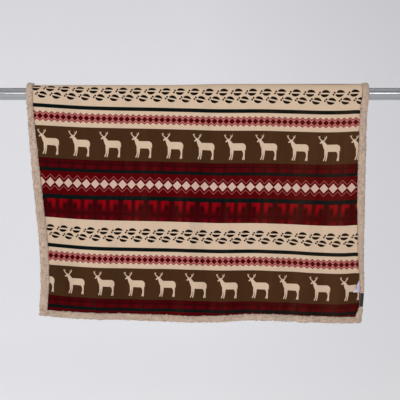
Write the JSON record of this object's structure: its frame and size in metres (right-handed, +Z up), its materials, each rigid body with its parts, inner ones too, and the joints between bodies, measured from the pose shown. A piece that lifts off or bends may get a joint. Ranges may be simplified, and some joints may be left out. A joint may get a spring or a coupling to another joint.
{
  "type": "throw blanket hanging over a rod",
  "caption": "Rectangular printed fleece throw, its sherpa backing turned to the front as a border, hanging in soft folds over a plain horizontal metal rod.",
  "frame": {"origin": "on the rod's axis, midway along the rod", "axes": "+X along the rod, to the right as the printed front is seen; -Y the way the printed front faces; +Z up"},
  "size_m": [1.9, 0.1228, 1.0715],
  "materials": {
    "rod_metal": "smooth satin metal tube",
    "sherpa": "beige curly sherpa pile",
    "printed_fleece": "short brushed pile, printed in bands of maroon, brown, green and beige",
    "satin_label": "white satin tape, bare",
    "woven_label": "dark woven tape, bare"
  },
  "bodies": {
    "root": {"rod": "rod_metal", "sherpa_backing": "sherpa", "face_panel": "printed_fleece", "care_label": "satin_label", "edge_label": "woven_label"}
  },
  "joints": []
}
